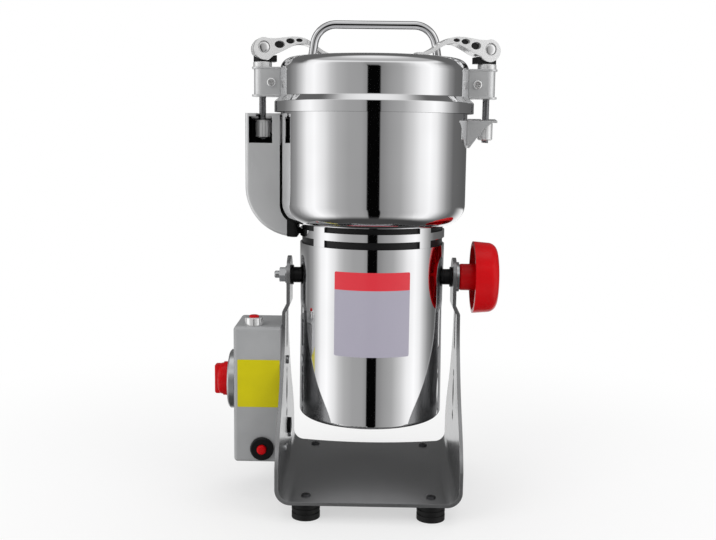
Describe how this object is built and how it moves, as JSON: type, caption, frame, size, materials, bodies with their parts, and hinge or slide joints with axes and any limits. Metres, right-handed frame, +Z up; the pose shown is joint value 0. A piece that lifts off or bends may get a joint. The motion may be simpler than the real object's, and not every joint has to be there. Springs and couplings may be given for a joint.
{
  "type": "electric grain mill",
  "caption": "Tilting high-speed grain mill: polished motor can and bowl in a bent sheet stand, clamped lid with bail handle, timer switch box at the side.",
  "frame": {"origin": "on the floor under the feet, below the middle of the whole mill's outline", "axes": "+Z up along the mill, -Y to the front, +X to the lock knob"},
  "size_m": [0.2274, 0.156, 0.3784],
  "materials": {
    "satin_steel": "satin",
    "polished_steel": "polished",
    "nickel": "bright",
    "box_paint": "satin",
    "zinc": "plated",
    "rubber": "matte",
    "silicone": "matte",
    "black_plastic": "matte",
    "red_plastic": "gloss",
    "dial_metal": "satin",
    "copper": "enamelled wire",
    "lamination": "laminated",
    "cast_aluminium": "cast",
    "carbon": "matte",
    "blade_steel": "ground"
  },
  "bodies": {
    "stand": {"stand_frame": "satin_steel", "rubber_feet": "rubber", "foot_screws": "zinc", "switch_box_cover": "box_paint", "switch_box_plate": "zinc", "box_screws": "zinc", "timer_movement": "zinc", "timer_dial": "dial_metal", "power_switch": "nickel", "overload_breaker": "black_plastic", "reset_bezel": "black_plastic", "cord_gland": "black_plastic", "arm_grommet": "rubber"},
    "timer": {"timer_spindle": "zinc", "timer_knob": "red_plastic"},
    "power": {"power_button": "red_plastic"},
    "reset": {"reset_button": "red_plastic"},
    "mill": {"pivot_bosses": "black_plastic", "pivot_washers": "black_plastic", "left_pivot_bolt": "zinc", "left_pivot_nut": "zinc", "motor_housing": "polished_steel", "vent_collar": "polished_steel", "motor_sleeve": "black_plastic", "bearing_brackets": "cast_aluminium", "motor_bearings": "zinc", "stator_core": "lamination", "field_coils": "copper", "carbon_brushes": "carbon", "shaft_seal": "rubber", "grinding_bowl": "polished_steel", "switch_guard": "satin_steel", "duct_bush": "rubber", "safety_switch": "black_plastic", "hook_brackets": "satin_steel"},
    "lock_washer": {"lock_knob_washer": "zinc"},
    "lock": {"lock_knob": "red_plastic"},
    "rotor": {"motor_shaft": "zinc", "armature_core": "lamination", "commutator": "copper", "cooling_fan": "cast_aluminium", "cutting_blades": "blade_steel", "sweep_blade": "blade_steel", "blade_spacers": "zinc", "blade_nut": "blade_steel"},
    "seal": {"lid_seal": "silicone"},
    "lid": {"lid": "polished_steel", "lid_handle": "nickel", "clamp_brackets": "satin_steel", "bracket_screws": "zinc", "cam_washers": "nickel", "cam_saddles": "black_plastic"},
    "right_clamp": {"right_clamp_rod": "zinc", "right_barrel_nut": "nickel", "right_cross_pin": "nickel"},
    "left_clamp": {"left_clamp_rod": "zinc", "left_barrel_nut": "nickel", "left_cross_pin": "nickel"},
    "right_lever": {"right_lever": "nickel"},
    "left_lever": {"left_lever": "nickel"}
  },
  "joints": [
    {"name": "mill_tilt", "type": "hinge", "parent": "stand", "child": "mill", "pos_m": [0.0135, 0, 0.1782], "axis": [1, 0, 0], "range_deg": [-95, 95]},
    {"name": "lock_washer_slide", "type": "slide", "parent": "mill", "child": "lock_washer", "axis": [1, 0, 0], "range_m": [0, 0.003]},
    {"name": "lock_knob_turn", "type": "hinge", "parent": "lock_washer", "child": "lock", "pos_m": [0.0844, 0, 0.1782], "axis": [1, 0, 0], "range_deg": [0, 720]},
    {"name": "rotor_spin", "type": "hinge", "parent": "mill", "child": "rotor", "pos_m": [0.0135, 0, 0.221], "axis": [0, 0, 1], "continuous": true},
    {"name": "lid_rise", "type": "slide", "parent": "mill", "child": "seal", "axis": [0, 0, 1], "range_m": [0, 0.018]},
    {"name": "lid_turn", "type": "hinge", "parent": "seal", "child": "lid", "pos_m": [0.0135, 0, 0.316], "axis": [0, 0, 1], "range_deg": [0, 120]},
    {"name": "right_rod_fall", "type": "slide", "parent": "lid", "child": "right_clamp", "axis": [0, 0, -1], "range_m": [0, 0.0024]},
    {"name": "right_lever_turn", "type": "hinge", "parent": "right_clamp", "child": "right_lever", "pos_m": [0.1012, 0, 0.3572], "axis": [-0.2756, 0.9613, 0], "range_deg": [0, 120]},
    {"name": "left_rod_fall", "type": "slide", "parent": "lid", "child": "left_clamp", "axis": [0, 0, -1], "range_m": [0, 0.0024]},
    {"name": "left_lever_turn", "type": "hinge", "parent": "left_clamp", "child": "left_lever", "pos_m": [-0.0742, 0, 0.3572], "axis": [0.2756, -0.9613, 0], "range_deg": [0, 120]},
    {"name": "power_press", "type": "slide", "parent": "stand", "child": "power", "axis": [0, 0, -1], "range_m": [0, 0.0025], "stiffness_N_per_m": 300},
    {"name": "reset_press", "type": "slide", "parent": "stand", "child": "reset", "axis": [0, 1, 0], "range_m": [0, 0.002], "stiffness_N_per_m": 300},
    {"name": "timer_turn", "type": "hinge", "parent": "stand", "child": "timer", "pos_m": [-0.0949, 0, 0.0915], "axis": [-1, 0, 0], "range_deg": [0, 300]}
  ],
  "couplings": [
    {"joint": "lock_knob_turn", "follows": "lock_washer_slide", "rad_per_m": 4188.8},
    {"joint": "lid_rise", "follows": "lid_turn", "m_per_rad": 0.0085944},
    {"joint": "right_lever_turn", "follows": "right_rod_fall", "rad_per_m": 872.66},
    {"joint": "left_lever_turn", "follows": "left_rod_fall", "rad_per_m": 872.66}
  ]
}
